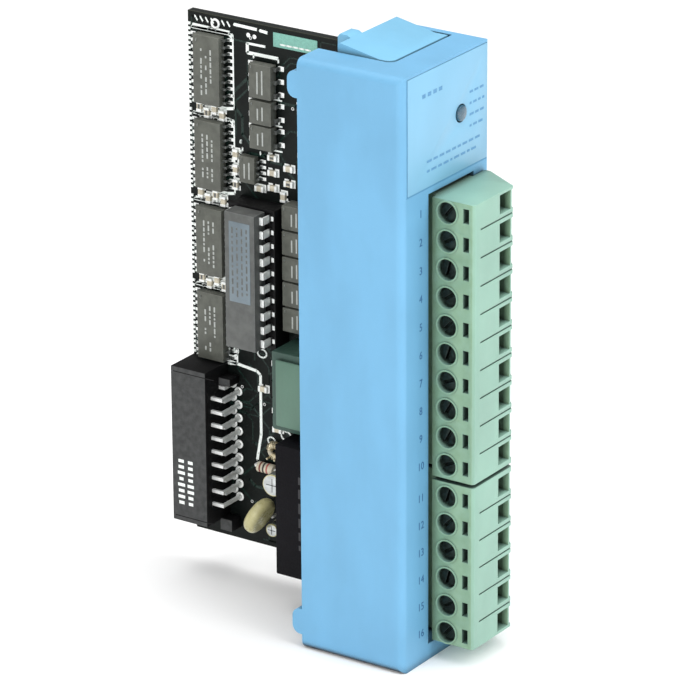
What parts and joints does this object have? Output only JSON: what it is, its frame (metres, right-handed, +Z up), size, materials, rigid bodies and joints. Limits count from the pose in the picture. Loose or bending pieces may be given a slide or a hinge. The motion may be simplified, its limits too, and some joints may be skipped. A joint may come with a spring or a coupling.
{
  "type": "plug-in terminal module for a controller rack",
  "caption": "Slim plug-in controller module: blue housing open at the back, upright circuit board with rack connector, two pluggable green screw terminal blocks, sprung latches.",
  "frame": {"origin": "centre of the housing's base, halfway across its width and depth", "axes": "+Z up along the housing's height, -Y out of the front with the terminals, +Y towards the rack"},
  "size_m": [0.0264, 0.0674, 0.1098],
  "materials": {
    "housing_blue": "fine moulded matt",
    "panel_blue": "printed label film, satin",
    "latch_blue": "fine moulded matt",
    "clear_lens": "clear moulding",
    "led_body": "tinted moulding",
    "board_green": "dark solder mask over laminate",
    "zinc_steel": "zinc plated",
    "tinned_metal": "tin plated",
    "spring_steel": "bright wire",
    "terminal_green": "pale green moulding",
    "connector_black": "glass-filled moulding",
    "chip_grey": "moulded epoxy",
    "chip_black": "moulded epoxy",
    "socket_black": "moulded",
    "potted_black": "potted case",
    "transformer_green": "taped winding",
    "capacitor_olive": "dipped coating",
    "passive_pale": "ceramic"
  },
  "bodies": {
    "housing": {"housing_shell": "housing_blue", "label_panel": "panel_blue", "status_lens": "clear_lens", "status_led": "led_body", "circuit_board": "board_green", "board_screws": "zinc_steel", "terminal_headers": "terminal_green", "header_pins": "tinned_metal", "latch_pins": "zinc_steel", "top_latch_spring": "spring_steel", "bottom_latch_spring": "spring_steel", "rack_connector": "connector_black", "rack_connector_legs": "tinned_metal", "surface_chips": "chip_grey", "chip_legs": "tinned_metal", "chip_socket": "socket_black", "socketed_chip": "chip_black", "optocouplers": "chip_grey", "power_converter": "potted_black", "transformer": "transformer_green", "board_capacitors": "capacitor_olive", "board_passives": "passive_pale"},
    "upper_plug": {"upper_plug": "terminal_green", "upper_plug_contacts": "tinned_metal"},
    "lower_plug": {"lower_plug": "terminal_green", "lower_plug_contacts": "tinned_metal"},
    "top_latch": {"top_latch": "latch_blue"},
    "bottom_latch": {"bottom_latch": "latch_blue"},
    "screw_01": {"terminal_screw_01": "zinc_steel"},
    "clamp_01": {"wire_clamp_01": "zinc_steel"},
    "screw_02": {"terminal_screw_02": "zinc_steel"},
    "clamp_02": {"wire_clamp_02": "zinc_steel"},
    "screw_03": {"terminal_screw_03": "zinc_steel"},
    "clamp_03": {"wire_clamp_03": "zinc_steel"},
    "screw_04": {"terminal_screw_04": "zinc_steel"},
    "clamp_04": {"wire_clamp_04": "zinc_steel"},
    "screw_05": {"terminal_screw_05": "zinc_steel"},
    "clamp_05": {"wire_clamp_05": "zinc_steel"},
    "screw_06": {"terminal_screw_06": "zinc_steel"},
    "clamp_06": {"wire_clamp_06": "zinc_steel"},
    "screw_07": {"terminal_screw_07": "zinc_steel"},
    "clamp_07": {"wire_clamp_07": "zinc_steel"},
    "screw_08": {"terminal_screw_08": "zinc_steel"},
    "clamp_08": {"wire_clamp_08": "zinc_steel"},
    "screw_09": {"terminal_screw_09": "zinc_steel"},
    "clamp_09": {"wire_clamp_09": "zinc_steel"},
    "screw_10": {"terminal_screw_10": "zinc_steel"},
    "clamp_10": {"wire_clamp_10": "zinc_steel"},
    "screw_11": {"terminal_screw_11": "zinc_steel"},
    "clamp_11": {"wire_clamp_11": "zinc_steel"},
    "screw_12": {"terminal_screw_12": "zinc_steel"},
    "clamp_12": {"wire_clamp_12": "zinc_steel"},
    "screw_13": {"terminal_screw_13": "zinc_steel"},
    "clamp_13": {"wire_clamp_13": "zinc_steel"},
    "screw_14": {"terminal_screw_14": "zinc_steel"},
    "clamp_14": {"wire_clamp_14": "zinc_steel"},
    "screw_15": {"terminal_screw_15": "zinc_steel"},
    "clamp_15": {"wire_clamp_15": "zinc_steel"},
    "screw_16": {"terminal_screw_16": "zinc_steel"},
    "clamp_16": {"wire_clamp_16": "zinc_steel"}
  },
  "joints": [
    {"name": "upper_plug_slide", "type": "slide", "parent": "housing", "child": "upper_plug", "axis": [0, -1, 0], "range_m": [0, 0.014]},
    {"name": "lower_plug_slide", "type": "slide", "parent": "housing", "child": "lower_plug", "axis": [0, -1, 0], "range_m": [0, 0.014]},
    {"name": "top_latch_press", "type": "hinge", "parent": "housing", "child": "top_latch", "pos_m": [0, -0.0027, 0.1051], "axis": [-1, 0, 0], "range_deg": [0, 5.5], "stiffness_Nm_per_rad": 0.05, "springref_deg": -5.73, "deforming": ["top_latch_spring"]},
    {"name": "bottom_latch_press", "type": "hinge", "parent": "housing", "child": "bottom_latch", "pos_m": [0, 0.0026, 0.0029], "axis": [1, 0, 0], "range_deg": [0, 5.5], "stiffness_Nm_per_rad": 0.05, "springref_deg": -5.73, "deforming": ["bottom_latch_spring"]},
    {"name": "screw_01_turn", "type": "hinge", "parent": "upper_plug", "child": "screw_01", "pos_m": [0, -0.01375, 0.0828], "axis": [1, 0, 0], "range_deg": [0, 1440]},
    {"name": "clamp_01_rise", "type": "slide", "parent": "upper_plug", "child": "clamp_01", "axis": [-1, 0, 0], "range_m": [0, 0.0018]},
    {"name": "screw_02_turn", "type": "hinge", "parent": "upper_plug", "child": "screw_02", "pos_m": [0, -0.01375, 0.07772], "axis": [1, 0, 0], "range_deg": [0, 1440]},
    {"name": "clamp_02_rise", "type": "slide", "parent": "upper_plug", "child": "clamp_02", "axis": [-1, 0, 0], "range_m": [0, 0.0018]},
    {"name": "screw_03_turn", "type": "hinge", "parent": "upper_plug", "child": "screw_03", "pos_m": [0, -0.01375, 0.07264], "axis": [1, 0, 0], "range_deg": [0, 1440]},
    {"name": "clamp_03_rise", "type": "slide", "parent": "upper_plug", "child": "clamp_03", "axis": [-1, 0, 0], "range_m": [0, 0.0018]},
    {"name": "screw_04_turn", "type": "hinge", "parent": "upper_plug", "child": "screw_04", "pos_m": [0, -0.01375, 0.06756], "axis": [1, 0, 0], "range_deg": [0, 1440]},
    {"name": "clamp_04_rise", "type": "slide", "parent": "upper_plug", "child": "clamp_04", "axis": [-1, 0, 0], "range_m": [0, 0.0018]},
    {"name": "screw_05_turn", "type": "hinge", "parent": "upper_plug", "child": "screw_05", "pos_m": [0, -0.01375, 0.06248], "axis": [1, 0, 0], "range_deg": [0, 1440]},
    {"name": "clamp_05_rise", "type": "slide", "parent": "upper_plug", "child": "clamp_05", "axis": [-1, 0, 0], "range_m": [0, 0.0018]},
    {"name": "screw_06_turn", "type": "hinge", "parent": "upper_plug", "child": "screw_06", "pos_m": [0, -0.01375, 0.0574], "axis": [1, 0, 0], "range_deg": [0, 1440]},
    {"name": "clamp_06_rise", "type": "slide", "parent": "upper_plug", "child": "clamp_06", "axis": [-1, 0, 0], "range_m": [0, 0.0018]},
    {"name": "screw_07_turn", "type": "hinge", "parent": "upper_plug", "child": "screw_07", "pos_m": [0, -0.01375, 0.05232], "axis": [1, 0, 0], "range_deg": [0, 1440]},
    {"name": "clamp_07_rise", "type": "slide", "parent": "upper_plug", "child": "clamp_07", "axis": [-1, 0, 0], "range_m": [0, 0.0018]},
    {"name": "screw_08_turn", "type": "hinge", "parent": "upper_plug", "child": "screw_08", "pos_m": [0, -0.01375, 0.04724], "axis": [1, 0, 0], "range_deg": [0, 1440]},
    {"name": "clamp_08_rise", "type": "slide", "parent": "upper_plug", "child": "clamp_08", "axis": [-1, 0, 0], "range_m": [0, 0.0018]},
    {"name": "screw_09_turn", "type": "hinge", "parent": "upper_plug", "child": "screw_09", "pos_m": [0, -0.01375, 0.04216], "axis": [1, 0, 0], "range_deg": [0, 1440]},
    {"name": "clamp_09_rise", "type": "slide", "parent": "upper_plug", "child": "clamp_09", "axis": [-1, 0, 0], "range_m": [0, 0.0018]},
    {"name": "screw_10_turn", "type": "hinge", "parent": "upper_plug", "child": "screw_10", "pos_m": [0, -0.01375, 0.03708], "axis": [1, 0, 0], "range_deg": [0, 1440]},
    {"name": "clamp_10_rise", "type": "slide", "parent": "upper_plug", "child": "clamp_10", "axis": [-1, 0, 0], "range_m": [0, 0.0018]},
    {"name": "screw_11_turn", "type": "hinge", "parent": "lower_plug", "child": "screw_11", "pos_m": [0, -0.01375, 0.03118], "axis": [1, 0, 0], "range_deg": [0, 1440]},
    {"name": "clamp_11_rise", "type": "slide", "parent": "lower_plug", "child": "clamp_11", "axis": [-1, 0, 0], "range_m": [0, 0.0018]},
    {"name": "screw_12_turn", "type": "hinge", "parent": "lower_plug", "child": "screw_12", "pos_m": [0, -0.01375, 0.0261], "axis": [1, 0, 0], "range_deg": [0, 1440]},
    {"name": "clamp_12_rise", "type": "slide", "parent": "lower_plug", "child": "clamp_12", "axis": [-1, 0, 0], "range_m": [0, 0.0018]},
    {"name": "screw_13_turn", "type": "hinge", "parent": "lower_plug", "child": "screw_13", "pos_m": [0, -0.01375, 0.02102], "axis": [1, 0, 0], "range_deg": [0, 1440]},
    {"name": "clamp_13_rise", "type": "slide", "parent": "lower_plug", "child": "clamp_13", "axis": [-1, 0, 0], "range_m": [0, 0.0018]},
    {"name": "screw_14_turn", "type": "hinge", "parent": "lower_plug", "child": "screw_14", "pos_m": [0, -0.01375, 0.01594], "axis": [1, 0, 0], "range_deg": [0, 1440]},
    {"name": "clamp_14_rise", "type": "slide", "parent": "lower_plug", "child": "clamp_14", "axis": [-1, 0, 0], "range_m": [0, 0.0018]},
    {"name": "screw_15_turn", "type": "hinge", "parent": "lower_plug", "child": "screw_15", "pos_m": [0, -0.01375, 0.01086], "axis": [1, 0, 0], "range_deg": [0, 1440]},
    {"name": "clamp_15_rise", "type": "slide", "parent": "lower_plug", "child": "clamp_15", "axis": [-1, 0, 0], "range_m": [0, 0.0018]},
    {"name": "screw_16_turn", "type": "hinge", "parent": "lower_plug", "child": "screw_16", "pos_m": [0, -0.01375, 0.00578], "axis": [1, 0, 0], "range_deg": [0, 1440]},
    {"name": "clamp_16_rise", "type": "slide", "parent": "lower_plug", "child": "clamp_16", "axis": [-1, 0, 0], "range_m": [0, 0.0018]}
  ],
  "couplings": [
    {"joint": "screw_01_turn", "follows": "clamp_01_rise", "rad_per_m": 13963},
    {"joint": "screw_02_turn", "follows": "clamp_02_rise", "rad_per_m": 13963},
    {"joint": "screw_03_turn", "follows": "clamp_03_rise", "rad_per_m": 13963},
    {"joint": "screw_04_turn", "follows": "clamp_04_rise", "rad_per_m": 13963},
    {"joint": "screw_05_turn", "follows": "clamp_05_rise", "rad_per_m": 13963},
    {"joint": "screw_06_turn", "follows": "clamp_06_rise", "rad_per_m": 13963},
    {"joint": "screw_07_turn", "follows": "clamp_07_rise", "rad_per_m": 13963},
    {"joint": "screw_08_turn", "follows": "clamp_08_rise", "rad_per_m": 13963},
    {"joint": "screw_09_turn", "follows": "clamp_09_rise", "rad_per_m": 13963},
    {"joint": "screw_10_turn", "follows": "clamp_10_rise", "rad_per_m": 13963},
    {"joint": "screw_11_turn", "follows": "clamp_11_rise", "rad_per_m": 13963},
    {"joint": "screw_12_turn", "follows": "clamp_12_rise", "rad_per_m": 13963},
    {"joint": "screw_13_turn", "follows": "clamp_13_rise", "rad_per_m": 13963},
    {"joint": "screw_14_turn", "follows": "clamp_14_rise", "rad_per_m": 13963},
    {"joint": "screw_15_turn", "follows": "clamp_15_rise", "rad_per_m": 13963},
    {"joint": "screw_16_turn", "follows": "clamp_16_rise", "rad_per_m": 13963}
  ]
}
